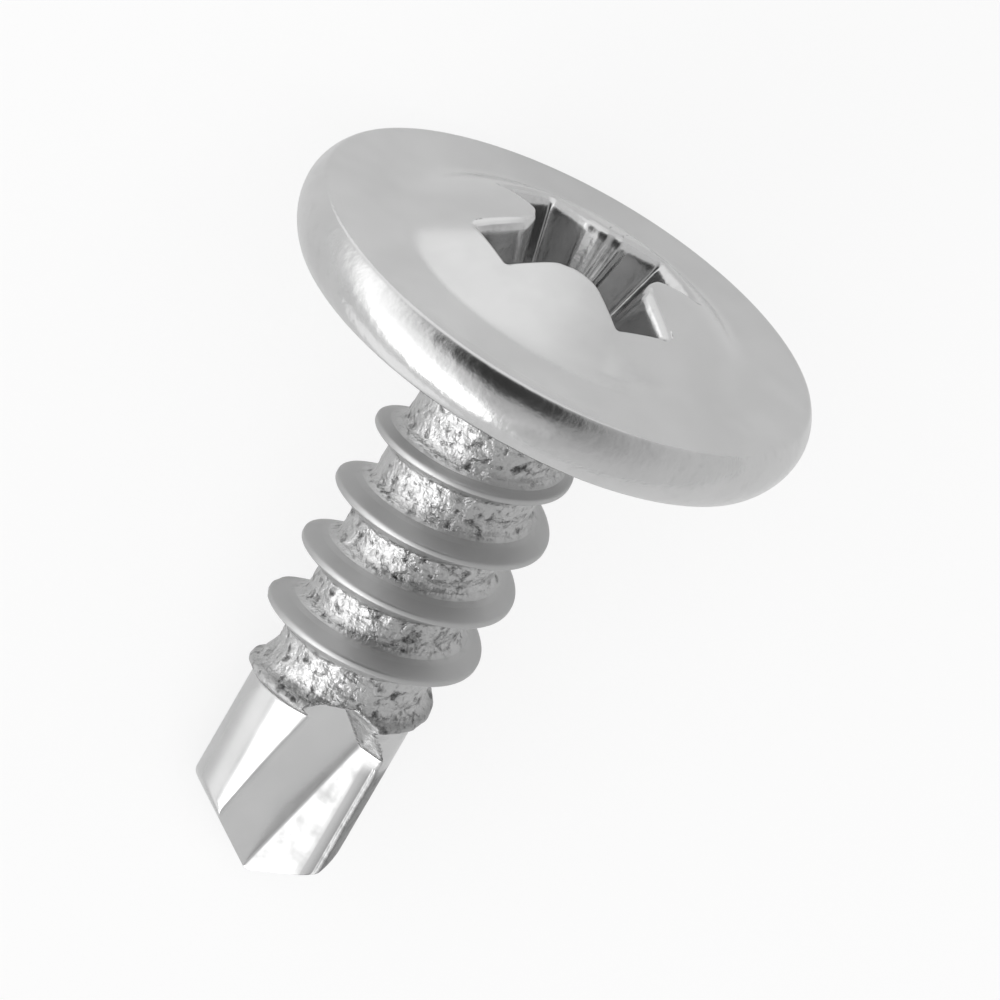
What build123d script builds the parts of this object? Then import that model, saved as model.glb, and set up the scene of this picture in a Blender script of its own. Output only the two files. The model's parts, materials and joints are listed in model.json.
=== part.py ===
from build123d import *
import os
from math import acos, atan2, cos, degrees, hypot, radians, sin, tan

# Self drilling screw, ST4.2 x 13, with a wafer head and a cross recess.  All sizes in millimetres.
# It is modelled upright: Z runs along the screw, the bearing face under the head is at Z = 0, the
# head is above it and the drill point below.  At the end it is laid down as it comes to rest.

# Head
head_diameter = 10.8
rim_height = 1.3
rim_top_inset = 0.21
rim_bottom_inset = 0.3
rim_widest_below_top = 0.55
crown_rise = 0.11
dome_diameter = 7.2
dome_rise = 0.95
dome_foot_radius = 1.2

# Cross recess: its mouth is the level where the wings break through the dome
recess_azimuth = 43.5
recess_span = 4.65
recess_wing_width = 1.22
recess_mouth_corner_radius = 0.75
recess_floor_corner_radius = 0.3
recess_mouth_above_rim = 0.62
recess_depth = 1.6
recess_wing_slope = 26.5
recess_side_draft = 5.75
recess_floor_diameter = 1.4
recess_floor_angle = 140

# Shank and thread: the first turn, under the head, and the last, above the drill, aren't full
length_under_head = 12.4
thread_major_diameter = 4.2
thread_minor_diameter = 3.0
thread_pitch = 1.4
thread_angle = 60
thread_crest_width = 0.12
thread_above_tip = 3.2
sections_per_turn = 12
neck_length = 0.8
neck_fillet = 0.4
first_turn_diameter = 3.8
first_turn_rise = 1.1
first_turn_length = 0.7
first_turn_step = 0.7
last_turn_diameter = 3.56
last_turn_length = 0.9
last_turn_step = 0.5
last_turn_fade = 0.6

# Drill point: azimuths are measured around Z, slopes from the level or from the axis
drill_diameter = 3.2
drill_length = 4.1
drill_shoulder = 0.3
flute_count = 2
lip_azimuth = -12
lip_offset = 0.3
lip_slope = 31
relief_slope = 31
flute_wall_azimuth = -49
flute_wall_offset = 0.34
flute_wall_slope = 10.2
flute_length = 4.4
flute_run_out = 0.3
flute_run_out_slope = 60
flute_end_above_tip = 3.57
flute_end_rise = 40

# Solids that are cut or trimmed run this far past what they cut
overlap = 0.15
clear_of_part = 4

# How closely a corner of the drill is found, and how often the resting pose is worked over
corner_tolerance = 0.001
rest_rounds = 12

# Levels along the screw
rim_widest = rim_height - rim_widest_below_top
crown_top = rim_height + crown_rise
dome_top = crown_top + dome_rise
recess_mouth = rim_height + recess_mouth_above_rim
recess_floor = recess_mouth - recess_depth
tip = -length_under_head
drill_top = tip + drill_length
shoulder_top = drill_top + drill_shoulder
thread_start = -neck_length
thread_end = tip + thread_above_tip
first_turn_top = thread_start - first_turn_rise
first_turn_bottom = first_turn_top - first_turn_length
last_turn_bottom = thread_end + last_turn_fade
last_turn_top = last_turn_bottom + last_turn_length

# Radii
head_radius = head_diameter / 2
dome_radius = dome_diameter / 2
major_radius = thread_major_diameter / 2
minor_radius = thread_minor_diameter / 2
first_turn_radius = first_turn_diameter / 2
last_turn_radius = last_turn_diameter / 2
drill_radius = drill_diameter / 2


def polar(azimuth, length):
    """A point in the XY plane at an azimuth in degrees."""
    return Vector(length * cos(radians(azimuth)), length * sin(radians(azimuth)))


# Blank: head, core and drill body, turned about the screw's axis
with BuildPart() as blank:
    with BuildSketch(Plane.XZ) as half_section:
        with BuildLine():
            dome_curve = (dome_radius**2 + dome_rise**2) / (2 * dome_rise)
            dome = RadiusArc((0, dome_top), (dome_radius, crown_top), dome_curve)
            crown = Line(dome @ 1, (head_radius - rim_top_inset, rim_height))
            TangentArc((head_radius, rim_widest), crown @ 1, tangent=(0, 1))
            rim_bottom = (head_radius - rim_bottom_inset, 0)
            lower_rim = TangentArc((head_radius, rim_widest), rim_bottom, tangent=(0, -1))
            Polyline(
                rim_bottom,
                (minor_radius, 0),
                (minor_radius, shoulder_top),
                (drill_radius, drill_top),
                (drill_radius, tip),
                (0, tip),
                dome @ 0,
            )
        make_face()
        dome_foot = half_section.vertices().sort_by_distance((dome_radius, crown_top))[0]
        fillet(dome_foot, dome_foot_radius)
        neck = half_section.vertices().sort_by_distance((minor_radius, 0))[0]
        fillet(neck, neck_fillet)
    revolve(axis=Axis.Z)

# Thread: one ridge with 60 degree flanks, lofted through sections that stand around the shank.  At its
# ends the crest sinks under the core's surface.
ridge_root = minor_radius - 2 * overlap
sunk_crest = minor_radius - overlap
crest_levels = [
    (thread_end, sunk_crest),
    (last_turn_bottom, last_turn_radius),
    (last_turn_top, last_turn_radius),
    (last_turn_top + last_turn_step, major_radius),
    (first_turn_bottom - first_turn_step, major_radius),
    (first_turn_bottom, first_turn_radius),
    (first_turn_top, first_turn_radius),
    (thread_start, sunk_crest),
]


def crest_radius(level):
    """The radius of the thread's crest at a level."""
    for (low, low_radius), (high, high_radius) in zip(crest_levels, crest_levels[1:]):
        if level <= high:
            return low_radius + (high_radius - low_radius) * (level - low) / (high - low)
    return sunk_crest


def ridge_face(section):
    """The cross-section of the ridge at a step up the shank, as a face standing around the axis."""
    level = thread_end + section * thread_pitch / sections_per_turn
    azimuth = 360 * section / sections_per_turn
    crest = crest_radius(level)
    half_root = thread_crest_width / 2 + (crest - ridge_root) * tan(radians(thread_angle / 2))
    with BuildSketch(Plane((0, 0, level), x_dir=polar(azimuth, 1), z_dir=polar(azimuth - 90, 1))) as face:
        with BuildLine():
            Polyline(
                (ridge_root, -half_root),
                (crest, -thread_crest_width / 2),
                (crest, thread_crest_width / 2),
                (ridge_root, half_root),
                close=True,
            )
        make_face()
    return face.sketch


section_count = int((thread_start - thread_end) * sections_per_turn / thread_pitch)
ridge_turns = []
for first in range(0, section_count, sections_per_turn):
    last = min(first + sections_per_turn, section_count)
    with BuildPart() as ridge_turn:
        loft([ridge_face(section) for section in range(first, last + 1)])
    ridge_turns.append(ridge_turn.part)

# Flute: a V notch between the cutting face, level with the lip, and a wall that leans in to the tip
lip_line = polar(lip_azimuth - 90, lip_offset)
toward_lip = polar(lip_azimuth, 1)
toward_heel = polar(flute_wall_azimuth - 90, 1)


def wall_offset(level):
    """How far the flute's wall stands from the axis at a level."""
    return flute_wall_offset + (level - tip) * tan(radians(flute_wall_slope))


def flute_root(offset):
    """Where the wall, at an offset from the axis, meets the cutting face."""
    wall_normal = polar(flute_wall_azimuth, 1)
    reach = (offset - lip_line.dot(wall_normal)) / toward_lip.dot(wall_normal)
    return lip_line + toward_lip * reach


flute_top = tip + flute_length
run_out_shift = flute_run_out * tan(radians(flute_run_out_slope))
flute_levels = {
    tip - clear_of_part: wall_offset(tip - clear_of_part),
    flute_top: wall_offset(flute_top),
    flute_top + flute_run_out: wall_offset(flute_top) + run_out_shift,
}
with BuildPart() as flute:
    for level, offset in flute_levels.items():
        root = flute_root(offset)
        with BuildSketch(Plane.XY.offset(level)):
            with BuildLine():
                Polyline(
                    root,
                    root + toward_lip * clear_of_part,
                    root + (toward_lip + toward_heel) * clear_of_part,
                    root + toward_heel * clear_of_part,
                    close=True,
                )
            make_face()
    loft(ruled=True)
    # The flute ends in a ramp that climbs from its root towards the heel
    flute_end = tip + flute_end_above_tip
    end_root = flute_root(wall_offset(flute_end))
    uphill = toward_heel * tan(radians(flute_end_rise))
    out_of_wall = polar(flute_wall_azimuth, 1 / tan(radians(flute_run_out_slope)))
    climb = uphill + out_of_wall
    ramp = Plane((end_root.X, end_root.Y, flute_end), z_dir=(-climb.X, -climb.Y, 1))
    split(bisect_by=ramp, keep=Keep.BOTTOM)

# Recess: four wings that narrow towards a conical floor
with BuildPart() as recess:
    for level in (dome_top, recess_floor):
        above_mouth = level - recess_mouth
        span = recess_span + 2 * above_mouth * tan(radians(recess_wing_slope))
        width = recess_wing_width + 2 * above_mouth * tan(radians(recess_side_draft))
        widening = (recess_mouth_corner_radius - recess_floor_corner_radius) / recess_depth
        corner_radius = recess_mouth_corner_radius + above_mouth * widening
        with BuildSketch(Plane.XY.offset(level).rotated((0, 0, recess_azimuth))) as cross:
            Rectangle(span, width)
            Rectangle(width, span)
            inner_corners = cross.vertices().sort_by_distance((0, 0, level))[:4]
            fillet(inner_corners, corner_radius)
    loft(ruled=True)
    with BuildSketch(Plane.XZ) as floor_section:
        with BuildLine():
            floor_radius = recess_floor_diameter / 2
            floor_drop = floor_radius / tan(radians(recess_floor_angle / 2))
            Polyline(
                (0, recess_floor + overlap),
                (floor_radius, recess_floor + overlap),
                (floor_radius, recess_floor),
                (0, recess_floor - floor_drop),
                close=True,
            )
        make_face()
    revolve(axis=Axis.Z)

# The whole screw, upright
with BuildPart() as upright:
    add(blank.part)
    add(ridge_turns)
    with PolarLocations(0, flute_count):
        add(flute.part, mode=Mode.SUBTRACT)
    for land in range(flute_count):
        azimuth = lip_azimuth + 360 * land / flute_count
        outward = polar(azimuth, tan(radians(lip_slope)))
        backward = polar(azimuth + 90, tan(radians(relief_slope)))
        fall = outward + backward
        split(bisect_by=Plane((0, 0, tip), z_dir=(-fall.X, -fall.Y, 1)), keep=Keep.TOP)
    add(recess.part, mode=Mode.SUBTRACT)

# Resting pose: the screw lies on the rim of its head and on the two corners at the mouth of the flute
# that faces down.  The tilt is the rise of its axis towards the head, the azimuth the side facing down.
low_corners = [
    corner
    for corner in upright.vertices()
    if abs(hypot(corner.X, corner.Y) - drill_radius) < corner_tolerance
    and corner.Z < tip + drill_radius
    and corner.Y > 0
]
heel, lip = [Vector(corner.X, corner.Y, corner.Z) for corner in sorted(low_corners, key=lambda c: -c.X)]
span = heel - lip
rim_fillet = lower_rim.radius
rim_fillet_centre = lower_rim.arc_center
rest_tilt = 0
for _ in range(rest_rounds):
    turn = acos(tan(rest_tilt) * span.Z / hypot(span.X, span.Y))
    rest_azimuth = atan2(span.Y, span.X) + turn
    reach = lip.X * cos(rest_azimuth) + lip.Y * sin(rest_azimuth)
    across = rim_fillet_centre.X - reach
    along = rim_fillet_centre.Z - lip.Z
    rest_tilt = acos(-rim_fillet / hypot(across, along)) - atan2(along, across)
laid_down = Rotation(0, 90 - degrees(rest_tilt), 0) * Rotation(0, 0, -degrees(rest_azimuth)) * upright.part
laid_box = laid_down.bounding_box()

os.makedirs("parts", exist_ok=True)
with BuildPart() as screw:
    with Locations((-laid_box.center().X, -laid_box.center().Y, -laid_box.min.Z)):
        add(laid_down)
screw.part.label = "screw"
export_step(screw.part, "parts/screw.step")
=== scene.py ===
import json
from math import cos, radians, sin

import bmesh
import bpy
import numpy as np
from mathutils import Matrix, Vector


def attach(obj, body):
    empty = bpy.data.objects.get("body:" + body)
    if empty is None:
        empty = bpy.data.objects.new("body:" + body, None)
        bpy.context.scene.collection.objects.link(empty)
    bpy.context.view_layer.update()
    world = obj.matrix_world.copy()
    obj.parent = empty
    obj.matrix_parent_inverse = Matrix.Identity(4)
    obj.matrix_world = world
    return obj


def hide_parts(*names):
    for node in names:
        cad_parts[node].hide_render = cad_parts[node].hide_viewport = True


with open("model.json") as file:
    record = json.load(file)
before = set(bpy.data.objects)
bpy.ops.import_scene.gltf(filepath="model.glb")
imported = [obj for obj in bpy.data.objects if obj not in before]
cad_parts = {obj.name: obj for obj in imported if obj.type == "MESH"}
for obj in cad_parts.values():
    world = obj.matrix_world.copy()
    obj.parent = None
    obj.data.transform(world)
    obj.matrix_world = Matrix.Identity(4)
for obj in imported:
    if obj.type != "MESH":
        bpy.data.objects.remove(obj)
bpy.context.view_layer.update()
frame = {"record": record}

MM = 0.001

# ---- where the screw lies: its own axis, from the bearing face up through the head ----------------
REST_AZIMUTH = 105.2175861  # how far part.py turns the screw about its axis before it lays it down

mount = next(m for m in frame["record"]["mounts"] if m["name"] == "thread")
seat = Vector(mount["pos_m"])
up = -Vector(mount["axis"])
side = Vector((up.z, 0, -up.x))
turned = Matrix((side, Vector((0, 1, 0)), up)).transposed()
screw_to_row = Matrix.Translation(seat) @ (turned @ Matrix.Rotation(-radians(REST_AZIMUTH), 3, "Z")).to_4x4()


# ---- nodes that the metal, the floor, the tent and the cards share ---------------------------------
def compute(tree, operation, *values):
    """A Math node; each value is a number or another node's output."""
    node = tree.nodes.new("ShaderNodeMath")
    node.operation = operation
    for value, socket in zip(values, node.inputs):
        if isinstance(value, (int, float)):
            socket.default_value = value
        else:
            tree.links.new(value, socket)
    return node.outputs[0]


def spread(tree, value, low, high, to_low, to_high, kind="LINEAR"):
    """A value led from one range to another, and held at the ends."""
    node = tree.nodes.new("ShaderNodeMapRange")
    node.interpolation_type = kind
    for name, number in zip(("From Min", "From Max", "To Min", "To Max"), (low, high, to_low, to_high)):
        node.inputs[name].default_value = number
    tree.links.new(value, node.inputs["Value"])
    return node.outputs[0]


def reach_along(tree, vector, direction):
    """How far a vector reaches along a direction."""
    node = tree.nodes.new("ShaderNodeVectorMath")
    node.operation = "DOT_PRODUCT"
    tree.links.new(vector, node.inputs[0])
    node.inputs[1].default_value = direction
    return node.outputs["Value"]


# ---- material: zinc plate, bright on the head and the drill, dull and pitted where it is rolled; painted shade on the thread's flanks and crests, along the drill's lip and in the pits ----
# the flank, lip and pit greys are painted shade: the flanks and the lip are darkened to tone down their
# reflections, the pits to stand in for the shade in them
PLATE_DARK, PLATE_LIGHT, ROLLED_GREY, FLANK_SHADE_GREY = 0.535, 0.585, 0.5, 0.45
SMUDGE_GREY, LIP_SHADE_GREY, PIT_SHADE_GREY = 0.38, 0.31, 0.1
# roughness of the plate, and what the flanks and the rolled roots add to it
PLATE_ROUGHNESS, FLANK_ADDS, ROLLED_ADDS = (0.17, 0.23), 0.27, (0.14, 0.28)
# each noise has so many bumps to the metre, and so much detail
WAVES, CLOUDS, SMUDGES, DENTS = (650, 1), (900, 3), (2300, 4), (2400, 3)
GRAIN, PITS, FINE = (3600, 3), (5000, 3), (9500, 2)
# the part of a noise's range that counts
MIDDLE, SMUDGED_FROM, PITTED_FROM = (0.3, 0.7), (0.48, 0.72), (0.54, 0.72)
# heights in metres
WAVE_HEIGHT, DENT_HEIGHT, GRAIN_HEIGHT, FINE_HEIGHT = 0.000004, 0.000015, 0.0001, 0.000024
WAVE_STRENGTH = 0.35

zinc = bpy.data.materials.new("bright_zinc")
zinc.use_nodes = True
metal = zinc.node_tree
shader = metal.nodes["Principled BSDF"]
shader.inputs["Metallic"].default_value = 1
place = metal.nodes.new("ShaderNodeTexCoord").outputs["Object"]


def zone(name):
    """The share of a zone that the mesh carries at each point."""
    node = metal.nodes.new("ShaderNodeAttribute")
    node.attribute_name = name
    return node.outputs["Fac"]


def noise(scale, detail):
    node = metal.nodes.new("ShaderNodeTexNoise")
    node.inputs["Scale"].default_value = scale
    node.inputs["Detail"].default_value = detail
    metal.links.new(place, node.inputs["Vector"])
    return node.outputs["Fac"]


def times(a, b):
    return compute(metal, "MULTIPLY", a, b)


def grey(value):
    return (value, value, value, 1)


def tint(share, a, b):
    """Colour a where the share is 0, and colour b where it is 1."""
    node = metal.nodes.new("ShaderNodeMix")
    node.data_type = "RGBA"
    # among this node's sockets, inputs 6 and 7 and output 2 are the ones for colours
    metal.links.new(share, node.inputs["Factor"])
    for colour, socket in zip((a, b), (node.inputs[6], node.inputs[7])):
        if isinstance(colour, tuple):
            socket.default_value = colour
        else:
            metal.links.new(colour, socket)
    return node.outputs[2]


def bump(height, distance, strength=1.0, normal=None):
    node = metal.nodes.new("ShaderNodeBump")
    node.inputs["Distance"].default_value = distance
    node.inputs["Strength"].default_value = strength
    metal.links.new(height, node.inputs["Height"])
    if normal:
        metal.links.new(normal, node.inputs["Normal"])
    return node.outputs["Normal"]


rough_zone, flank_zone = zone("rough_zone"), zone("flank_zone")
clouds, grain, fine = noise(*CLOUDS), noise(*GRAIN), noise(*FINE)
pits = times(spread(metal, noise(*PITS), *PITTED_FROM, 0, 1), rough_zone)
smudges = times(spread(metal, noise(*SMUDGES), *SMUDGED_FROM, 0, 1), zone("worn_zone"))

plate = tint(spread(metal, clouds, *MIDDLE, 0, 1), grey(PLATE_DARK), grey(PLATE_LIGHT))
# the flanks and crests take a darker grey, a painted shade that tones down their reflections
rolled = tint(flank_zone, tint(rough_zone, plate, grey(ROLLED_GREY)), grey(FLANK_SHADE_GREY))
smudged = tint(smudges, rolled, grey(SMUDGE_GREY))
# along the lip the colour is a darker grey, a painted shade that dims the lip edge's highlight
lip_shaded = tint(zone("lip_shade_zone"), smudged, grey(LIP_SHADE_GREY))
# the pits are painted near black, a painted shade in each pit; their relief comes from the bump further down
metal.links.new(tint(pits, lip_shaded, grey(PIT_SHADE_GREY)), shader.inputs["Base Color"])

flank_dull = spread(metal, flank_zone, 0, 1, 0, FLANK_ADDS)
satin = compute(metal, "ADD", spread(metal, clouds, *MIDDLE, *PLATE_ROUGHNESS), flank_dull)
rolled_dull = times(spread(metal, fine, *MIDDLE, *ROLLED_ADDS), rough_zone)
metal.links.new(compute(metal, "ADD", satin, rolled_dull), shader.inputs["Roughness"])

waves = bump(noise(*WAVES), WAVE_HEIGHT, WAVE_STRENGTH)
dents = bump(times(noise(*DENTS), zone("dented_zone")), DENT_HEIGHT, normal=waves)
coarse = bump(times(grain, rough_zone), GRAIN_HEIGHT, normal=dents)
pitted = bump(times(compute(metal, "SUBTRACT", fine, pits), rough_zone), FINE_HEIGHT, normal=coarse)
metal.links.new(pitted, shader.inputs["Normal"])

# ---- sizes, as in the part: millimetres, Z along the screw, bearing face at 0 ----------------------
# the part's head has a radius of 5.4, and this one stays inside the box of its facets
HEAD_RADIUS = 5.396
RIM_HEIGHT, RIM_TOP_INSET, RIM_BOTTOM_INSET, RIM_WIDEST = 1.3, 0.21, 0.3, 0.75
CROWN_TOP, DOME_RADIUS, DOME_TOP, DOME_FOOT = 1.41, 3.6, 2.36, 1.2
RECESS_MOUTH, RECESS_FLOOR = 1.92, 0.32
HALF_SPAN, HALF_WIDTH, MOUTH_CORNER, FLOOR_CORNER = 2.325, 0.61, 0.75, 0.3
WING_SLOPE, SIDE_DRAFT = np.radians(26.5), np.radians(5.75)
FLOOR_RADIUS, FLOOR_DROP = 0.7, 0.2548
NECK_FILLET = 0.4
MINOR, PITCH, THREAD_END, THREAD_START = 1.5, 1.4, -9.2, -0.8
HALF_CREST, FLANK = 0.06, np.tan(np.radians(30))
CREST_LEVELS = (-9.2, -8.6, -7.7, -7.2, -3.3, -2.6, -1.9, -0.8)
CREST_RADII = (1.35, 1.78, 1.78, 2.1, 2.1, 1.9, 1.9, 1.35)
TIP, SHOULDER_TOP, DRILL_TOP, DRILL_RADIUS = -12.4, -8.0, -8.3, 1.6
WALL_A, WALL_B = np.radians(-49), np.radians(-102)
WALL_A_OFFSET, WALL_A_SLOPE, WALL_B_OFFSET = 0.34, np.tan(np.radians(10.2)), 0.3
FLUTE_TOP, RUN_OUT_SLOPE = -8.0, np.tan(np.radians(60))
RAMP_FOOT, RAMP_HEELWARD, RAMP_OUTWARD = -8.83, np.tan(np.radians(40)), 1 / np.tan(np.radians(60))
END_RIDGE, END_FALL = np.radians(33), np.tan(np.radians(31)) * np.sqrt(2)

# ---- the mesh: rings of points around the axis, each with as many columns --------------------------
COLUMNS = 240
QUARTER, HALF = COLUMNS // 4, COLUMNS // 2
NECK_JOIN, POINT_JOIN = -0.5, -7.6  # the levels where the thread's mesh meets the head's and the drill's

columns = np.arange(COLUMNS)
next_column = (columns + 1) % COLUMNS
azimuth = 2 * np.pi * columns / COLUMNS


def polar(angle, length=1.0):
    return np.stack([length * np.cos(angle), length * np.sin(angle)], -1)


def turned_by(xy, angle):
    """Points turned about the axis."""
    x, y = xy[..., 0], xy[..., 1]
    return np.stack([x * np.cos(angle) - y * np.sin(angle), x * np.sin(angle) + y * np.cos(angle)], -1)


def with_z(xy, z):
    return np.concatenate([xy, np.broadcast_to(z, (COLUMNS,))[:, None]], 1)


def arc(start, corner, end, t):
    """A point on the curve that rounds a corner, at share t of the way."""
    return (1 - t) ** 2 * start + 2 * t * (1 - t) * corner + t**2 * end


def bend(start, corner, end, count):
    """Points that round a corner in so many steps, both ends among them."""
    return arc(start, corner, end, np.linspace(0, 1, count + 1).reshape((-1,) + (1,) * np.ndim(start)))


def smooth(low, high, x):
    """0 at low, 1 at high and an S curve between them."""
    t = np.clip((x - low) / (high - low), 0, 1)
    return t * t * (3 - 2 * t)


def soft_min(a, b, k):
    h = np.clip(0.5 + 0.5 * (b - a) / k, 0, 1)
    return b + (a - b) * h - k * h * (1 - h)


def soft_max(a, b, k):
    return -soft_min(-a, -b, k)


LUMP_SEED, LUMP_CELLS = 11, 48
lattice = np.random.default_rng(LUMP_SEED).uniform(-1, 1, (LUMP_CELLS,) * 3)


def lumps(p, size):
    """Smooth noise between -1 and 1, with bumps of about a size."""
    p = p / size
    cell = np.floor(p).astype(int)
    f = p - cell
    f = f * f * (3 - 2 * f)
    total = np.zeros(p.shape[:-1])
    for corner in np.ndindex(2, 2, 2):
        weight = np.prod(np.where(corner, f, 1 - f), axis=-1)
        i, j, k = np.moveaxis((cell + corner) % LUMP_CELLS, -1, 0)
        total += weight * lattice[i, j, k]
    return total


# ---- head -------------------------------------------------------------------------------------------
RECESS_COLUMN = 29  # the middle of the first wing
# in a wing's half, the last columns of its end, of the corner beyond and of its side
WING_END, WING_CORNER, WING_SIDE = 4, 7, 18
DIAGONAL = 0.707
WING_SOFT, FLOOR_SOFT, FLOOR_SOFT_SHARE, RIM_SOFT = 0.08, 0.05, 0.3, 0.05
MOUTH_ROUNDS, EVENING_ROUNDS = 25, 3
# the punch has rounded the mouth's edge, more so on the side away from the first flute
NEAR_BROW, FAR_BROW = 0.06, 0.24
# and left ribs in the corners between the wings, strongest on that side and in one half of a corner
RIBS, RIB_HEIGHT, NEAR_RIBS, WEAK_RIBS = 1.5, 0.034, 0.3, 0.4
BROW_TURN, RIB_TURN = (-0.5, 0.5), (-0.2, 0.8)  # where along Y the near side's share gives way
# where the rings lie: radii, or shares of the way across
CONE_RADII = (0.12, 0.3, 0.5, 0.66)
FLOOR_SHARES = (0.2, 0.4, 0.65, 0.85)
WALL_SHARES = (0.06, 0.2, 0.35, 0.5, 0.65, 0.8, 0.92, 0.97)
DOME_SHARES = (0.04, 0.1, 0.18, 0.28, 0.4, 0.52, 0.64, 0.76, 0.88, 1.0)
DOME_RING, FOOT_RADII, CROWN_RADII = 3.1, np.linspace(3.18, 4.3, 18), (4.5, 4.7, 4.9, 5.03)
UPPER_RIM_SHARES = (0.93, 0.8, 0.65, 0.5, 0.33, 0.16, 0.0)
LOWER_RIM_SHARES = (0.14, 0.3, 0.46, 0.62, 0.78, 0.92)
BEARING_RADII = (4.95, 4.5, 3.8, 3.1, 2.5, 2.1, 1.95)

dome_curve = (DOME_RADIUS**2 + (DOME_TOP - CROWN_TOP) ** 2) / (2 * (DOME_TOP - CROWN_TOP))
dome_centre = DOME_TOP - dome_curve
crown_fall = (CROWN_TOP - RIM_HEIGHT) / (HEAD_RADIUS - RIM_TOP_INSET - DOME_RADIUS)
lean = np.hypot(1, crown_fall)


def crown(r):
    return CROWN_TOP - (r - DOME_RADIUS) * crown_fall


# the fillet at the dome's foot touches the dome and the crown: its centre is found by halving
HALVINGS = 50
low, high = 3.0, 5.0
for _ in range(HALVINGS):
    foot_r = (low + high) / 2
    foot_z = crown(foot_r) + DOME_FOOT * lean
    if np.hypot(foot_r, foot_z - dome_centre) > dome_curve + DOME_FOOT:
        high = foot_r
    else:
        low = foot_r
foot_in = foot_r * dome_curve / (dome_curve + DOME_FOOT)
foot_out = foot_r - DOME_FOOT * crown_fall / lean


def top_of_head(r):
    dome = dome_centre + np.sqrt(np.maximum(dome_curve**2 - r**2, 0))
    foot = foot_z - np.sqrt(np.maximum(DOME_FOOT**2 - (r - foot_r) ** 2, 0))
    return np.where(r < foot_in, dome, np.where(r < foot_out, foot, crown(r)))


def cross_ring(z):
    """The recess's outline, a point for each column; z is one level or one for each column."""
    z = np.broadcast_to(z, (COLUMNS,))
    half_span = HALF_SPAN + (z - RECESS_MOUTH) * np.tan(WING_SLOPE)
    half_width = HALF_WIDTH + (z - RECESS_MOUTH) * np.tan(SIDE_DRAFT)
    corner = MOUTH_CORNER + (z - RECESS_MOUTH) * (MOUTH_CORNER - FLOOR_CORNER) / (RECESS_MOUTH - RECESS_FLOOR)
    step = (columns - RECESS_COLUMN) % QUARTER
    wing = (columns - RECESS_COLUMN) // QUARTER
    mirrored = step > QUARTER // 2
    k = np.where(mirrored, QUARTER - step, step)
    corner_columns = QUARTER // 2 - WING_SIDE
    x, y = np.empty(COLUMNS), np.empty(COLUMNS)
    for i, (s, w, c, n) in enumerate(zip(half_span, half_width, corner, k)):
        if n <= WING_END:
            x[i], y[i] = s, (w - WING_SOFT) * n / WING_END
        elif n <= WING_CORNER:
            t = (n - WING_END) / (WING_CORNER - WING_END)
            x[i], y[i] = arc(s, s, s - WING_SOFT, t), arc(w - WING_SOFT, w, w, t)
        elif n <= WING_SIDE:
            t = (n - WING_CORNER) / (WING_SIDE - WING_CORNER)
            x[i], y[i] = (s - WING_SOFT) + t * (w + c - s + WING_SOFT), w
        else:
            a = np.radians(45) * (n - WING_SIDE) / corner_columns
            x[i], y[i] = w + c - c * np.sin(a), w + c - c * np.cos(a)
    across = np.clip((k - WING_SIDE) / corner_columns, 0, 1)
    rib = RIB_HEIGHT * np.sin(np.pi * across) ** 0.5 * np.cos(2 * np.pi * RIBS * (across - 1))
    rib = rib * (NEAR_RIBS + (1 - NEAR_RIBS) * smooth(*RIB_TURN, np.sin(azimuth)))
    rib = rib * np.where(mirrored, WEAK_RIBS, 1) * (k > WING_SIDE)
    x, y = x - rib * DIAGONAL, y - rib * DIAGONAL
    y = np.where(mirrored, -y, y)
    return turned_by(np.stack([x, y], -1), azimuth[RECESS_COLUMN] + (wing + mirrored) * np.pi / 2)


def recess_rings(circle):
    """Rings from the recess's floor up its walls, over its mouth and out over the dome."""
    rings = [with_z(circle * r, RECESS_FLOOR - FLOOR_DROP * (1 - r / FLOOR_RADIUS)) for r in CONE_RADII]
    rings.append(with_z(circle * FLOOR_RADIUS, RECESS_FLOOR))
    floor_edge = cross_ring(RECESS_FLOOR)
    reach = np.linalg.norm(floor_edge, axis=1)
    soft = np.minimum(FLOOR_SOFT, FLOOR_SOFT_SHARE * (reach - FLOOR_RADIUS))
    inward = floor_edge * (1 - soft / reach)[:, None]
    rings += [with_z(circle * FLOOR_RADIUS * (1 - t) + inward * t, RECESS_FLOOR) for t in FLOOR_SHARES]
    low_wall = RECESS_FLOOR + FLOOR_SOFT
    foot_of_wall = with_z(cross_ring(low_wall), low_wall)
    rings += list(bend(with_z(inward, RECESS_FLOOR), with_z(floor_edge, RECESS_FLOOR), foot_of_wall, 3))
    # the mouth lies where the walls meet the dome
    mouth_z = np.full(COLUMNS, RECESS_MOUTH)
    for _ in range(MOUTH_ROUNDS):
        mouth = cross_ring(mouth_z)
        mouth_z = top_of_head(np.linalg.norm(mouth, axis=1))
    along = np.roll(mouth, -1, 0) - np.roll(mouth, 1, 0)
    square = np.stack([along[:, 1], -along[:, 0]], 1)
    square /= np.linalg.norm(square, axis=1)[:, None]
    soften = NEAR_BROW + (FAR_BROW - NEAR_BROW) * smooth(*BROW_TURN, square[:, 1])
    for _ in range(EVENING_ROUNDS):
        soften = (np.roll(soften, 1) + soften + np.roll(soften, -1)) / 3
    wall_top = mouth_z - soften
    for t in WALL_SHARES:
        z = low_wall + (wall_top - low_wall) * t
        rings.append(with_z(cross_ring(z), z))
    brow = mouth + square * soften[:, None]
    brow_z = top_of_head(np.linalg.norm(brow, axis=1))
    wall_end = with_z(cross_ring(wall_top), wall_top)
    rings += list(bend(wall_end, with_z(mouth, mouth_z), with_z(brow, brow_z), 8))
    for t in DOME_SHARES:
        xy = brow + (circle * DOME_RING - brow) * t
        rings.append(with_z(xy, top_of_head(np.linalg.norm(xy, axis=1))))
    return rings


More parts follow.
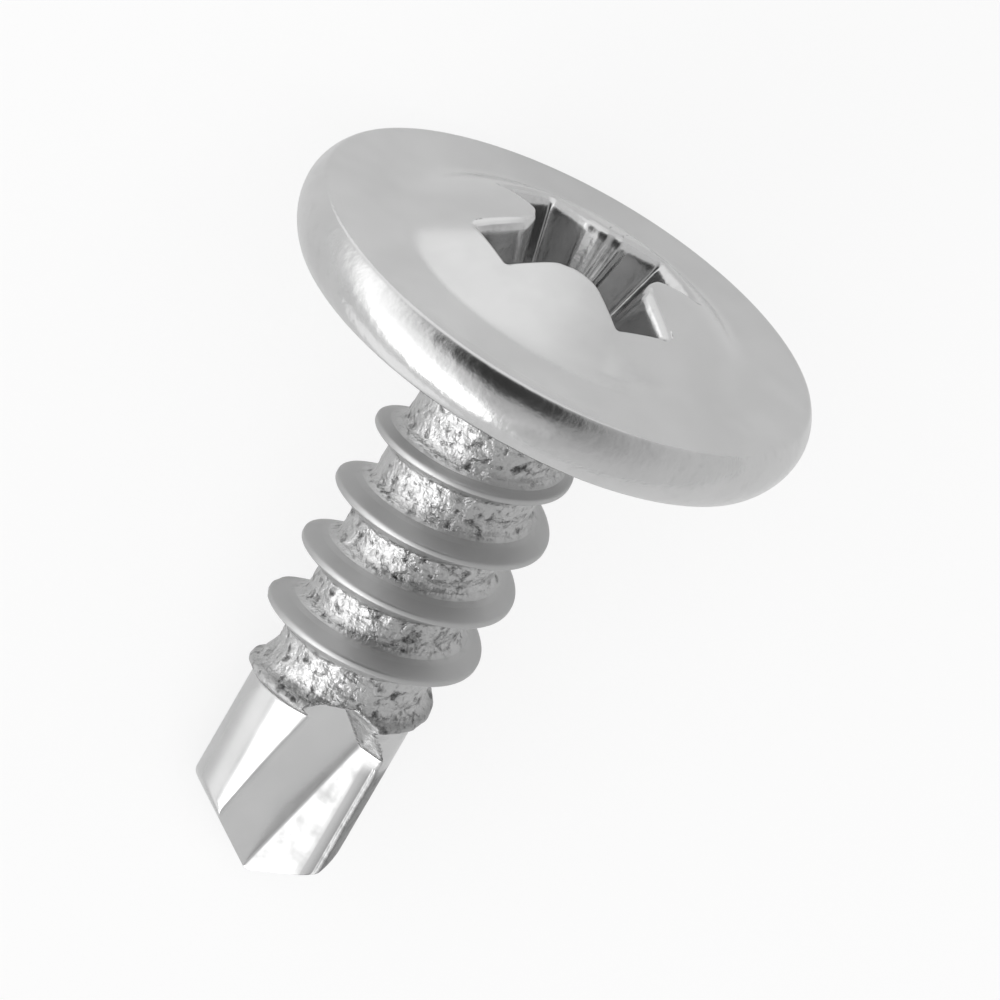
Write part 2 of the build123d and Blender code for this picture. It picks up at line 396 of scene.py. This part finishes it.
def rim_profile():
    """The half section from the top of the rim to the neck; the rim is two arcs that meet at its widest."""
    up_reach = RIM_HEIGHT - RIM_WIDEST
    upper = (RIM_TOP_INSET**2 + up_reach**2) / (2 * RIM_TOP_INSET)
    lower = (RIM_BOTTOM_INSET**2 + RIM_WIDEST**2) / (2 * RIM_BOTTOM_INSET)

    def on_upper(a):
        return np.array([HEAD_RADIUS - upper + upper * np.cos(a), RIM_WIDEST + upper * np.sin(a)])

    def on_lower(a):
        return np.array([HEAD_RADIUS - lower + lower * np.cos(a), RIM_WIDEST - lower * np.sin(a)])

    top = np.array([HEAD_RADIUS - RIM_TOP_INSET, RIM_HEIGHT])
    foot = np.array([HEAD_RADIUS - RIM_BOTTOM_INSET, 0.0])
    crown_end = top[0] - RIM_SOFT
    upper_end = np.arctan2(up_reach, upper - RIM_TOP_INSET) - RIM_SOFT / upper
    lower_end = np.arctan2(RIM_WIDEST, lower - RIM_BOTTOM_INSET) - RIM_SOFT / lower
    line = list(bend(np.array([crown_end, crown(crown_end)]), top, on_upper(upper_end), 4))
    line += [on_upper(upper_end * share) for share in UPPER_RIM_SHARES]
    line += [on_lower(lower_end * share) for share in LOWER_RIM_SHARES]
    line += list(bend(on_lower(lower_end), foot, foot - [RIM_SOFT, 0], 3))
    line += [(r, 0.0) for r in BEARING_RADII]
    for a in np.linspace(0, np.pi / 2, 8):
        line.append((MINOR + NECK_FILLET - NECK_FILLET * np.sin(a), -NECK_FILLET + NECK_FILLET * np.cos(a)))
    return line


def head_rings():
    """Rings from the recess's floor over the head to the neck."""
    circle = polar(azimuth)
    rings = recess_rings(circle)
    for r in (*FOOT_RADII, *CROWN_RADII, HEAD_RADIUS - RIM_TOP_INSET - 2 * RIM_SOFT):
        rings.append(with_z(circle * r, top_of_head(r)))
    rings += [with_z(circle * r, z) for r, z in rim_profile()]
    rings.append(with_z(polar(azimuth, shank_radius(azimuth, np.full(COLUMNS, NECK_JOIN))), NECK_JOIN))
    return rings


# ---- thread -----------------------------------------------------------------------------------------
CREST_SOFT, FOOT_SOFT = 0.05, 0.1
# how far a flank stands proud of the core where the dull root ends and where it is clean
ROOT_ENDS, FLANK_CLEAN = 0.06, 0.24
LAST_TURN_TOP, LUMPS_END, FADED_SHARE, RIDGE_FOOT = -7.1, -8.95, 0.25, 0.14
TURN_FADE, FOOT_FADE, NECK_FADE = 0.2, 0.05, 0.25
# lumps: how high, how wide the coarse and the fine ones are, and how high the fine ones are beside them
ROOT_LUMPS, ROOT_COARSE, ROOT_FINE, ROOT_FINE_SHARE = 0.016, 0.34, 0.19, 0.6
LAST_LUMPS, LAST_COARSE, LAST_FINE, LAST_FINE_SHARE = 0.036, 0.5, 0.24, 0.45
LUMPS_ACROSS = np.array([1, 1, 2.2])  # this draws them out along the turns
ROOT_SHIFT, LAST_SHIFT = 7, 3  # these keep one kind from repeating another
# rows of the ribbon: millimetres from the crest's middle, then shares of the flank and of the root
CREST_ROWS, FLANK_ROWS, ROOT_ROWS = (0, 0.035, 0.052, 0.068, 0.09), (0.25, 0.5, 0.75), (0.2, 0.4, 0.6, 0.8, 1)
LEAST_FOOT, ABOVE_FOOT, BELOW_FOOT = 0.22, 0.045, 0.05


def core_radius(z):
    return np.interp(z, (DRILL_TOP, SHOULDER_TOP), (DRILL_RADIUS, MINOR))


def crest_level(phi, z):
    """The level of the nearest crest of the thread's helix."""
    start = THREAD_END + PITCH * np.mod(phi, 2 * np.pi) / (2 * np.pi)
    return start + PITCH * np.round((z - start) / PITCH)


def smooth_shank(phi, z):
    """The shank's radius, and how far its surface stands proud of the core."""
    crest_z = crest_level(phi, z)
    crest = np.interp(crest_z, CREST_LEVELS, CREST_RADII)
    off = np.abs(z - crest_z) - HALF_CREST
    ridge = soft_min(crest, crest - off / FLANK, CREST_SOFT)
    radius = soft_max(core_radius(z), ridge, FOOT_SOFT)
    return radius, radius - core_radius(z)


def ridge_foot(phi):
    """The level of the last turn's lower edge, led down to it where the ridge has faded out."""
    share = np.mod(phi, 2 * np.pi) / (2 * np.pi)
    faded = THREAD_END + PITCH - (PITCH - PITCH * FADED_SHARE) * share / FADED_SHARE
    return np.where(share < FADED_SHARE, faded, THREAD_END + PITCH * share) - RIDGE_FOOT


def rough_share(phi, z):
    """How rolled the surface is at each point, and the last turn's part in that."""
    proud = smooth_shank(phi, z)[1]
    roots = 1 - smooth(ROOT_ENDS, FLANK_CLEAN, proud)
    last_turn = 1 - smooth(LAST_TURN_TOP - TURN_FADE, LAST_TURN_TOP + TURN_FADE, z)
    foot = ridge_foot(phi)
    turns = smooth(foot - FOOT_FADE, foot + FOOT_FADE, z) * (1 - smooth(NECK_JOIN - NECK_FADE, NECK_JOIN, z))
    return np.maximum(roots, last_turn) * turns, last_turn * turns


def shank_radius(phi, z):
    """The shank's radius with its lumps."""
    phi, z = np.broadcast_arrays(phi, z)
    radius = smooth_shank(phi, z)[0]
    if z.max() <= LUMPS_END:
        return radius
    rough, last_turn = rough_share(phi, z)
    p = np.concatenate([polar(phi, radius), z[..., None]], -1) * LUMPS_ACROSS
    swell = ROOT_LUMPS * (lumps(p, ROOT_COARSE) + ROOT_FINE_SHARE * lumps(p + ROOT_SHIFT, ROOT_FINE))
    swell_last = LAST_LUMPS * (lumps(p + LAST_SHIFT, LAST_COARSE) + LAST_FINE_SHARE * lumps(p, LAST_FINE))
    return radius + rough * swell + last_turn * swell_last


def ribbon_rows(crest_z):
    """Steps across one pitch, from half a pitch under the crest to half a pitch over it."""
    height = np.interp(crest_z, CREST_LEVELS, CREST_RADII) - MINOR
    foot = max(HALF_CREST + max(height, 0) * FLANK, LEAST_FOOT)
    crest_edge, below = CREST_ROWS[-1], foot + BELOW_FOOT
    flank = np.array(FLANK_ROWS) * (foot - ABOVE_FOOT - crest_edge) + crest_edge
    root = below + (PITCH / 2 - below) * np.array(ROOT_ROWS)
    half = np.concatenate([CREST_ROWS, flank, [foot - ABOVE_FOOT, foot, below], root])
    return np.concatenate([-half[:0:-1], half])


def ribbon():
    """Rows of points across the thread, one for each column as it winds up the shank."""
    first = int(np.floor((POINT_JOIN - PITCH / 2 - THREAD_END) / PITCH * COLUMNS))
    last = int(np.ceil((NECK_JOIN + PITCH / 2 - THREAD_END) / PITCH * COLUMNS))
    grid = []
    for i in range(first, last + 1):
        crest_z = THREAD_END + PITCH * i / COLUMNS
        z = np.clip(crest_z + ribbon_rows(crest_z), POINT_JOIN, NECK_JOIN)
        phi = np.full(len(z), 2 * np.pi * (i % COLUMNS) / COLUMNS)
        grid.append(np.concatenate([polar(phi, shank_radius(phi, z)), z[:, None]], 1))
    return np.array(grid)


# ---- drill point ------------------------------------------------------------------------------------
HEEL, ROOT, LIP = -64, -30, -15  # the columns of the first flute's corners
NEXT_HEEL = HEEL + HALF
CORNER_COLUMNS, LIP_COLUMNS = 2, 4  # how many columns round a corner on either side of its own
HEEL_EDGE, LIP_EDGE, LIP_LAND, LIP_MARGIN, ROOT_EDGE, ROOT_MARGIN = 0.06, 0.3, 0.06, 0.03, 0.025, 0.05
WALL_END_EDGE, LAND_END_EDGE, RIDGE_SOFT = 0.03, 0.13, 0.03
FLUTE_EDGE_TOP = -8.95  # above this level the flutes are cut from round rings
HIGH_STEP, EVEN_REACH = 0.03, 0.45
FOLLOW_COLUMNS, FOLLOW_FADE = 25, 1.5  # how far from a heel its columns follow it up, and how that fades
LEAST_TILT, WALL_SOFT, CUT_SOFT, RAMP_FADE, FAR_OUT = 0.02, 0.05, 0.04, 0.04, 9.0
LAND_STARTS, LAND_ENDS = (LIP - 6, LIP + 1), (HEEL - 1, HEEL + 6)
END_START, SIDE_STEPS, LAST_SIDE_SHARE = TIP + 0.5, 24, 0.985
TIP_ROUNDS, CORNER_ROUNDS = 8, 5
END_SHARES = (0.95, 0.88, 0.78, 0.66, 0.54, 0.42, 0.3, 0.18, 0.08)


def wall_offset(z):
    return WALL_A_OFFSET + (z - TIP) * WALL_A_SLOPE


def corner_root(offset):
    """Where wall A, at an offset from the axis, meets the cutting face."""
    line = polar(WALL_B) * WALL_B_OFFSET
    toward_lip = polar(WALL_B + np.pi / 2)
    reach = (offset - line @ polar(WALL_A)) / (toward_lip @ polar(WALL_A))
    return line + toward_lip * np.asarray(reach)[..., None]


def corner_points(z):
    """Heel, flute root and lip at levels z, for the first flute."""
    offset = wall_offset(z)
    heel_r, lip_r = np.full_like(z, DRILL_RADIUS), np.full_like(z, DRILL_RADIUS)
    for _ in range(CORNER_ROUNDS):
        heel_a = WALL_A - np.arccos(np.clip(offset / heel_r, -1, 1))
        lip_a = WALL_B + np.arccos(WALL_B_OFFSET / lip_r)
        heel_r, lip_r = smooth_shank(heel_a, z)[0], smooth_shank(lip_a, z)[0]
    return heel_a, heel_r, corner_root(offset), lip_a, lip_r


def place_in_half(column):
    """A column's place in its half turn, from HEEL through the flute and the land to the next heel."""
    return (column - HEEL) % HALF + HEEL


def between(a, b, column, first, last):
    return a + (b - a) * (column - first) / (last - first)


def drill_point(column, z):
    """Where a column meets the drill's outline at levels z."""
    z = np.asarray(z, float)
    turn = (column - HEEL) // HALF * np.pi
    k = place_in_half(column)
    heel_a, heel_r, root, lip_a, lip_r = corner_points(z)
    heel, lip = polar(heel_a, heel_r), polar(lip_a, lip_r)
    length_a = np.linalg.norm(root - heel, axis=-1, keepdims=True)
    length_b = np.linalg.norm(lip - root, axis=-1, keepdims=True)
    toward_root, toward_lip = (root - heel) / length_a, (lip - root) / length_b
    heel_step, lip_step = HEEL_EDGE / DRILL_RADIUS, LIP_LAND / DRILL_RADIUS
    next_heel = heel_a + np.pi

    def land(angle):
        return polar(angle, shank_radius(angle + turn, z))

    if k <= HEEL + CORNER_COLUMNS:
        t = (k - HEEL + CORNER_COLUMNS) / (2 * CORNER_COLUMNS)
        p = arc(land(heel_a - heel_step), heel, heel + toward_root * HEEL_EDGE, t)
    elif k < ROOT - CORNER_COLUMNS:
        first, last = HEEL + CORNER_COLUMNS + 1, ROOT - CORNER_COLUMNS - 1
        p = heel + toward_root * between(2 * HEEL_EDGE, length_a - ROOT_MARGIN, k, first, last)
    elif k <= ROOT + CORNER_COLUMNS:
        t = (k - ROOT + CORNER_COLUMNS) / (2 * CORNER_COLUMNS)
        p = arc(root - toward_root * ROOT_EDGE, root, root + toward_lip * ROOT_EDGE, t)
    elif k < LIP - LIP_COLUMNS:
        first, last = ROOT + CORNER_COLUMNS + 1, LIP - LIP_COLUMNS - 1
        p = root + toward_lip * between(ROOT_MARGIN, length_b - LIP_EDGE - LIP_MARGIN, k, first, last)
    elif k <= LIP + LIP_COLUMNS:
        t = (k - LIP + LIP_COLUMNS) / (2 * LIP_COLUMNS)
        p = arc(lip - toward_lip * LIP_EDGE, lip, land(lip_a + lip_step), t)
    elif k < NEXT_HEEL - CORNER_COLUMNS:
        first, last = LIP + LIP_COLUMNS + 1, NEXT_HEEL - CORNER_COLUMNS - 1
        p = land(between(lip_a + 2 * lip_step, next_heel - 2 * heel_step, k, first, last))
    else:
        t = (k - NEXT_HEEL + CORNER_COLUMNS) / (2 * CORNER_COLUMNS)
        p = arc(land(next_heel - heel_step), -heel, -(heel + toward_root * HEEL_EDGE), t)
    return turned_by(p, turn)


def end_level(xy):
    """The level of the two relief planes, which meet in the chisel edge."""
    across = xy[..., 0] * np.cos(END_RIDGE) + xy[..., 1] * np.sin(END_RIDGE)
    return TIP + END_FALL * np.sqrt(across**2 + RIDGE_SOFT**2)


def flute_cut(phi, z):
    """How far from the axis a flute begins on an azimuth at a level, and 1 where its end ramp does."""
    nearest = np.full(np.broadcast(phi, z).shape, FAR_OUT)
    on_ramp = np.zeros(nearest.shape)
    offset = wall_offset(np.minimum(z, FLUTE_TOP)) + np.maximum(z - FLUTE_TOP, 0) * RUN_OUT_SLOPE
    foot_offset = wall_offset(RAMP_FOOT)
    foot_heelward = corner_root(foot_offset) @ polar(WALL_A - np.pi / 2)
    on_axis = RAMP_FOOT - RAMP_HEELWARD * foot_heelward - RAMP_OUTWARD * foot_offset
    for turn in (0, np.pi):
        a = np.maximum(np.cos(phi - WALL_A - turn), LEAST_TILT)
        b = np.maximum(np.cos(phi - WALL_B - turn), LEAST_TILT)
        heelward = np.cos(phi - WALL_A - turn + np.pi / 2)
        climb = np.maximum(RAMP_HEELWARD * heelward + RAMP_OUTWARD * a, LEAST_TILT)
        ramp = (z - on_axis) / climb
        walls = soft_max(offset / a, WALL_B_OFFSET / b, WALL_SOFT)
        nearest = np.minimum(nearest, soft_max(walls, ramp, WALL_SOFT))
        over_ramp = smooth(-RAMP_FADE, RAMP_FADE, ramp - walls)
        on_ramp = np.maximum(on_ramp, np.where(climb > LEAST_TILT, over_ramp, 0))
    return nearest, on_ramp


def high_rings(levels):
    """Round rings above the flutes' straight part, with the flutes' run-out cut from them."""
    rings = np.empty((len(levels), COLUMNS, 3))
    heel_high = corner_points(np.minimum(levels, FLUTE_TOP))[0]
    heel_low = corner_points(np.array(FLUTE_EDGE_TOP))[0]
    even = smooth(FLUTE_TOP - EVEN_REACH, POINT_JOIN, levels)
    whole = levels > POINT_JOIN - 0.5 * HIGH_STEP  # the first ring, which meets the thread's mesh
    for c in range(COLUMNS):
        at_edge = drill_point(c, np.array([FLUTE_EDGE_TOP]))[0]
        pinned = np.arctan2(at_edge[1], at_edge[0])
        gap = np.mod(azimuth[c] - pinned + np.pi, 2 * np.pi) - np.pi
        from_heel = min(abs((c - HEEL + HALF // 2) % HALF - HALF // 2) / FOLLOW_COLUMNS, 1)
        follow = (heel_high - heel_low) * (1 - from_heel) ** FOLLOW_FADE
        phi = pinned + follow * (1 - even) + gap * even
        r = shank_radius(phi, levels)
        cut = soft_min(r, flute_cut(phi, levels)[0], CUT_SOFT)
        rings[:, c, :2] = polar(phi, np.where(whole, r, cut))
        rings[:, c, 2] = levels
    return rings


def drill_rings():
    """Rings from the thread's lower end down the drill and over its tip to the middle."""
    high = np.arange(POINT_JOIN, FLUTE_EDGE_TOP - 0.001, -HIGH_STEP)  # down to the top edge itself
    out = list(high_rings(high))
    k = place_in_half(columns)
    on_land = smooth(*LAND_STARTS, k) + 1 - smooth(*LAND_ENDS, k)
    edge = WALL_END_EDGE + (LAND_END_EDGE - WALL_END_EDGE) * on_land
    end_z = np.full(COLUMNS, END_START)
    for _ in range(TIP_ROUNDS):
        end_xy = np.array([drill_point(c, end_z[c : c + 1])[0] for c in range(COLUMNS)])
        end_z = end_level(end_xy)
    last_z = end_z + edge
    shares = np.concatenate([np.linspace(0, 1, SIDE_STEPS)[1:-1], [LAST_SIDE_SHARE, 1.0]])
    levels = high[-1] + (last_z - high[-1]) * shares[:, None]
    sides = np.stack([drill_point(c, levels[:, c]) for c in range(COLUMNS)], 1)
    out += list(np.concatenate([sides, levels[..., None]], -1))
    side_end = out.pop()
    face = end_xy * (1 - edge / np.linalg.norm(end_xy, axis=1))[:, None]
    out += list(bend(side_end, with_z(end_xy, end_z), with_z(face, end_level(face)), 5))
    out += [with_z(face * share, end_level(face * share)) for share in END_SHARES]
    return out


# ---- zones of the material ---------------------------------------------------------------------------
RIM_ROUGH, RECESS_ROUGH, RAMP_ROUGH, LAND_ROUGH = 0.07, 0.1, 0.6, 0.5
ABOVE_BEARING, BELOW_TOP, RECESS_REACH, CUT_MARGIN, FLANK_PAST_START = 0.02, 0.04, 3, 0.02, 0.2
ROUGH_RIM, DENTED_RIM = (5.0, 5.3), (4.9, 5.25)
# the columns between which a zone of the drill comes and goes, and the levels between which it fades in
WORN_STARTS, WORN_ENDS, LIP_STARTS = (ROOT, ROOT + 3), (LIP + 12, LIP + 20), (LIP - 6, LIP - 4)
PITS_START, PITS_END = (LIP - 1, LIP + 2), (LIP + 14, LIP + 22)
WORN_TOP, WORN_FULL = -9.0, -9.3


def along_drill(share, rings, z):
    """A share for each column, on the drill's rings below the flutes' run-out."""
    return np.tile(share, rings) * smooth(WORN_TOP, WORN_FULL, z)


def zones(points, on_drill):
    """The share of each zone at each point; on_drill is the slice of the drill's points."""
    phi, z = np.arctan2(points[:, 1], points[:, 0]), points[:, 2]
    r = np.hypot(points[:, 0], points[:, 1])
    flute_r, on_ramp = flute_cut(phi, z)
    on_flute = (r > flute_r - CUT_MARGIN) & (z < POINT_JOIN)
    on_head = z > ABOVE_BEARING
    in_recess = on_head & (z < top_of_head(r) - BELOW_TOP) & (r < RECESS_REACH)
    rough = np.where(z < 0, rough_share(phi, z)[0], 0)
    rough = np.where(on_flute, RAMP_ROUGH * on_ramp * (z > FLUTE_EDGE_TOP), rough)
    rough = np.where(on_head, RIM_ROUGH * smooth(*ROUGH_RIM, r), rough)
    rough = np.where(in_recess, RECESS_ROUGH, rough)
    flank = smooth(ROOT_ENDS, FLANK_CLEAN, smooth_shank(phi, z)[1])
    flank = flank * (z < THREAD_START + FLANK_PAST_START) * (z > ridge_foot(phi)) * ~on_flute
    dented = smooth(*DENTED_RIM, r) * on_head
    # the cutting face is smudged and, along its lip, painted darker as a painted shade that dims the lip
    # edge's highlight; the strip of land past the lip is pitted and takes the flanks' painted shade
    k = place_in_half(columns)
    rings, drill_z = (on_drill.stop - on_drill.start) // COLUMNS, z[on_drill]
    until_land = 1 - smooth(*WORN_ENDS, k)
    pitted = along_drill(smooth(*PITS_START, k) * (1 - smooth(*PITS_END, k)), rings, drill_z)
    rough[on_drill] = np.maximum(rough[on_drill], LAND_ROUGH * pitted)
    flank[on_drill] = np.maximum(flank[on_drill], pitted)
    worn, lip = np.zeros(len(points)), np.zeros(len(points))
    worn[on_drill] = along_drill(smooth(*WORN_STARTS, k) * until_land, rings, drill_z)
    lip[on_drill] = along_drill(smooth(*LIP_STARTS, k) * until_land, rings, drill_z)
    return {
        "rough_zone": rough,
        "flank_zone": flank,
        "worn_zone": worn,
        "dented_zone": dented,
        "lip_shade_zone": lip,
    }


# ---- the screw's mesh --------------------------------------------------------------------------------
WELD, SLIVER = 0.002, 0.0005


def strip(first, rings):
    """Quads between each ring of columns and the next one."""
    quads = []
    for a in first + COLUMNS * np.arange(rings - 1):
        b = a + COLUMNS
        quads.append(np.stack([a + columns, a + next_column, b + next_column, b + columns], 1))
    return np.concatenate(quads)


def build():
    """Points, faces and zones, in millimetres along the screw's own axis."""
    head, grid, drill = head_rings(), ribbon(), drill_rings()
    poles = np.array([[0, 0, RECESS_FLOOR - FLOOR_DROP], [0, 0, end_level(np.zeros(2))]])
    points = [np.array(head).reshape(-1, 3), grid.reshape(-1, 3), np.array(drill).reshape(-1, 3), poles]
    starts = np.cumsum([0] + [len(p) for p in points])
    points = np.concatenate(points)
    turns, rows = grid.shape[:2]
    i, j = np.meshgrid(np.arange(turns - 1), np.arange(rows - 1), indexing="ij")
    a = starts[1] + i * rows + j
    thread = np.stack([a, a + rows, a + rows + 1, a + 1], -1).reshape(-1, 4)
    quads = np.concatenate([strip(0, len(head)), strip(starts[2], len(drill)), thread])
    low = starts[3] - COLUMNS
    top_fan = np.stack([np.full(COLUMNS, starts[3]), columns, next_column], 1)
    end_fan = np.stack([np.full(COLUMNS, starts[3] + 1), low + next_column, low + columns], 1)
    faces = quads.tolist() + top_fan.tolist() + end_fan.tolist()
    return points, faces, zones(points, slice(starts[2], starts[3]))


points, faces, shares = build()
zinc_mesh = bpy.data.meshes.new("zinc_screw")
zinc_mesh.from_pydata(points.tolist(), [], faces)
for name, share in shares.items():
    zinc_mesh.attributes.new(name, "FLOAT", "POINT").data.foreach_set("value", share.astype(np.float32))
work = bmesh.new()
work.from_mesh(zinc_mesh)
bmesh.ops.remove_doubles(work, verts=work.verts, dist=WELD)
bmesh.ops.dissolve_degenerate(work, edges=work.edges, dist=SLIVER)
bmesh.ops.recalc_face_normals(work, faces=work.faces)
work.to_mesh(zinc_mesh)
work.free()
zinc_mesh.transform(screw_to_row @ Matrix.Scale(MM, 4))
for face in zinc_mesh.polygons:
    face.use_smooth = True
zinc_mesh.materials.append(zinc)
zinc_screw = bpy.data.objects.new("zinc_screw", zinc_mesh)
bpy.context.scene.collection.objects.link(zinc_screw)
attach(zinc_screw, "root")
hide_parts("screw")


# ---- floor: pale paper, part of which glows to the camera and in the metal ---------------------------
HALF_FLOOR, PAPER_WHITE, PAPER_ROUGHNESS = 1.5, 0.93, 0.9
GLOW_IN_METAL, GLOW_TO_CAMERA = 0.15, 0.65


def sheet(name, corners, material):
    """A flat piece of one face, in the scene."""
    mesh = bpy.data.meshes.new(name)
    mesh.from_pydata(corners, [], [(0, 1, 2, 3)])
    mesh.materials.append(material)
    piece = bpy.data.objects.new(name, mesh)
    bpy.context.scene.collection.objects.link(piece)
    return piece


def flat(left, right, near, far, height):
    """The corners of a sheet that lies at a height."""
    return [(left, near, height), (right, near, height), (right, far, height), (left, far, height)]


paper = bpy.data.materials.new("floor_paper")
paper.use_nodes = True
paper_tree = paper.node_tree
matt = paper_tree.nodes["Principled BSDF"]
matt.inputs["Base Color"].default_value = grey(PAPER_WHITE)
matt.inputs["Roughness"].default_value = PAPER_ROUGHNESS
matt.inputs["Specular IOR Level"].default_value = 0.0
white = paper_tree.nodes.new("ShaderNodeEmission")
rays = paper_tree.nodes.new("ShaderNodeLightPath").outputs
seen = compute(paper_tree, "ADD", rays["Is Camera Ray"], rays["Is Glossy Ray"])
seen = compute(paper_tree, "ADD", seen, rays["Is Transmission Ray"])
glow = compute(paper_tree, "MULTIPLY", seen, GLOW_IN_METAL)
mix = paper_tree.nodes.new("ShaderNodeMixShader")
glow = compute(paper_tree, "MULTIPLY_ADD", rays["Is Camera Ray"], GLOW_TO_CAMERA, glow)
paper_tree.links.new(glow, mix.inputs["Fac"])
paper_tree.links.new(matt.outputs[0], mix.inputs[1])
paper_tree.links.new(white.outputs[0], mix.inputs[2])
paper_tree.links.new(mix.outputs[0], paper_tree.nodes["Material Output"].inputs["Surface"])
floor = sheet("floor", flat(-HALF_FLOOR, HALF_FLOOR, -HALF_FLOOR, HALF_FLOOR, 0), paper)

# ---- light: a tent with a bright side and a dark opening over the screw ------------------------------
# each patch: gain or loss, then heading from +X, elevation, and the angles within which it is full or fades
BRIGHT = (
    (2.4, (98, -11, 20, 84)),
    (0.55, (5, 8, 8, 36)),
    (3.2, (141, -2, 20, 36)),
    (0.5, (135, 48, 28, 44)),
)
DARK = ((0.87, (38, 68, 16, 38)), (0.55, (81, 61, 9, 97)))
TENT_LEVEL = 0.81

world = bpy.data.worlds.new("studio")
bpy.context.scene.world = world
world.use_nodes = True
tent = world.node_tree
sky = tent.nodes.new("ShaderNodeTexCoord").outputs["Generated"]


def patch(heading, elevation, inner, outer):
    """1 within the inner angle of a direction, 0 past the outer one."""
    a, e = radians(heading), radians(elevation)
    toward = reach_along(tent, sky, (cos(a) * cos(e), sin(a) * cos(e), sin(e)))
    return spread(tent, toward, cos(radians(outer)), cos(radians(inner)), 0, 1, "SMOOTHSTEP")


level = TENT_LEVEL
for gain, where in BRIGHT:
    level = compute(tent, "ADD", level, compute(tent, "MULTIPLY", patch(*where), gain))
for loss, where in DARK:
    kept = compute(tent, "SUBTRACT", 1.0, compute(tent, "MULTIPLY", patch(*where), loss))
    level = compute(tent, "MULTIPLY", level, kept)
tent.links.new(level, tent.nodes["Background"].inputs["Color"])


# ---- cards: glowing sheets that only the metal sees --------------------------------------------------
def card(name, corners, strengths, reach):
    """A card whose glow goes from one strength to another over a reach along Y."""
    paint = bpy.data.materials.new(name + "_paper")
    paint.use_nodes = True
    tree = paint.node_tree
    glow = tree.nodes.new("ShaderNodeEmission")
    y = reach_along(tree, tree.nodes.new("ShaderNodeTexCoord").outputs["Object"], (0, 1, 0))
    tree.links.new(spread(tree, y, *reach, *strengths, "SMOOTHSTEP"), glow.inputs["Strength"])
    tree.links.new(glow.outputs[0], tree.nodes["Material Output"].inputs["Surface"])
    piece = sheet(name, corners, paint)
    piece.visible_camera = False
    piece.visible_diffuse = False
    piece.visible_shadow = False


# one stands behind the head and lights the foot of its dome
CARD_DISTANCE, CARD_HEIGHT, CARD_FROM, CARD_TO = 0.019, 0.012, -16, 38
foot = [(CARD_DISTANCE * cos(radians(a)), CARD_DISTANCE * sin(radians(a))) for a in (CARD_FROM, CARD_TO)]
standing = [(*foot[0], 0), (*foot[1], 0), (*foot[1], CARD_HEIGHT), (*foot[0], CARD_HEIGHT)]
card("standing_card", standing, strengths=(0.9, 1.25), reach=(-0.005, 0.002))
# one lies beside the drill point and lights the land of its far flute
beside_drill = flat(left=-0.022, right=-0.0046, near=0.0026, far=0.016, height=0.00002)
card("lying_card", beside_drill, strengths=(0.85, 1.36), reach=(0.0027, 0.006))
# and a long one further out lifts the floor towards the bright side of the tent
further_out = flat(left=-0.3, right=0.4, near=0.022, far=0.5, height=0.00001)
card("far_card", further_out, strengths=(0.9, 1.5), reach=(0.022, 0.085))

# ---- lamp: wide and soft overhead, it lights the paper and lays the shadow ---------------------------
LAMP_SIZE, LAMP_ENERGY, LAMP_HEIGHT = 0.5, 1.0, 0.6
lamp = bpy.data.objects.new("overhead", bpy.data.lights.new("overhead", "AREA"))
lamp.data.size = LAMP_SIZE
lamp.data.energy = LAMP_ENERGY
lamp.location = (0, 0, LAMP_HEIGHT)
lamp.visible_glossy = False
bpy.context.scene.collection.objects.link(lamp)

# ---- camera, as the photograph was taken -------------------------------------------------------------
AXIS_TILT, AXIS_ROLL = radians(67.03), radians(30.27)
RIM_CENTRE_PIXEL = (569.40, 289.84)
PIXELS_PER_MM, DISTANCE_MM, IMAGE_PIXELS, SENSOR = 52.743, 300, 1000, 36.0
CLIP_START, CLIP_END = 0.01, 10

DISTANCE = DISTANCE_MM * MM
FOCAL_PIXELS = PIXELS_PER_MM * DISTANCE_MM

# the screw's axes and its rim's centre, seen from a camera that looks along +Z with Y down
u = Vector((cos(AXIS_ROLL), sin(AXIS_ROLL), 0))
v = Vector((-sin(AXIS_ROLL), cos(AXIS_ROLL), 0))
z = -(sin(AXIS_TILT) * v + cos(AXIS_TILT) * Vector((0, 0, 1)))
screw_in_camera = Matrix((u, z.cross(u), z)).transposed()
centre = Vector((
    (RIM_CENTRE_PIXEL[0] - IMAGE_PIXELS / 2) * DISTANCE / FOCAL_PIXELS,
    (RIM_CENTRE_PIXEL[1] - IMAGE_PIXELS / 2) * DISTANCE / FOCAL_PIXELS,
    DISTANCE,
))
camera_in_screw = screw_in_camera.transposed()
to_blender = Matrix(((1, 0, 0), (0, -1, 0), (0, 0, -1)))
pose = (camera_in_screw @ to_blender).to_4x4()
pose.translation = camera_in_screw @ -centre + Vector((0, 0, RIM_HEIGHT * MM))

camera_data = bpy.data.cameras.new("camera")
camera_data.sensor_width = SENSOR
camera_data.lens = SENSOR * FOCAL_PIXELS / IMAGE_PIXELS
camera_data.clip_start = CLIP_START
camera_data.clip_end = CLIP_END
camera = bpy.data.objects.new("camera", camera_data)
bpy.context.scene.collection.objects.link(camera)
camera.matrix_world = screw_to_row @ pose
bpy.context.scene.camera = camera

bpy.context.scene.view_settings.view_transform = "Standard"
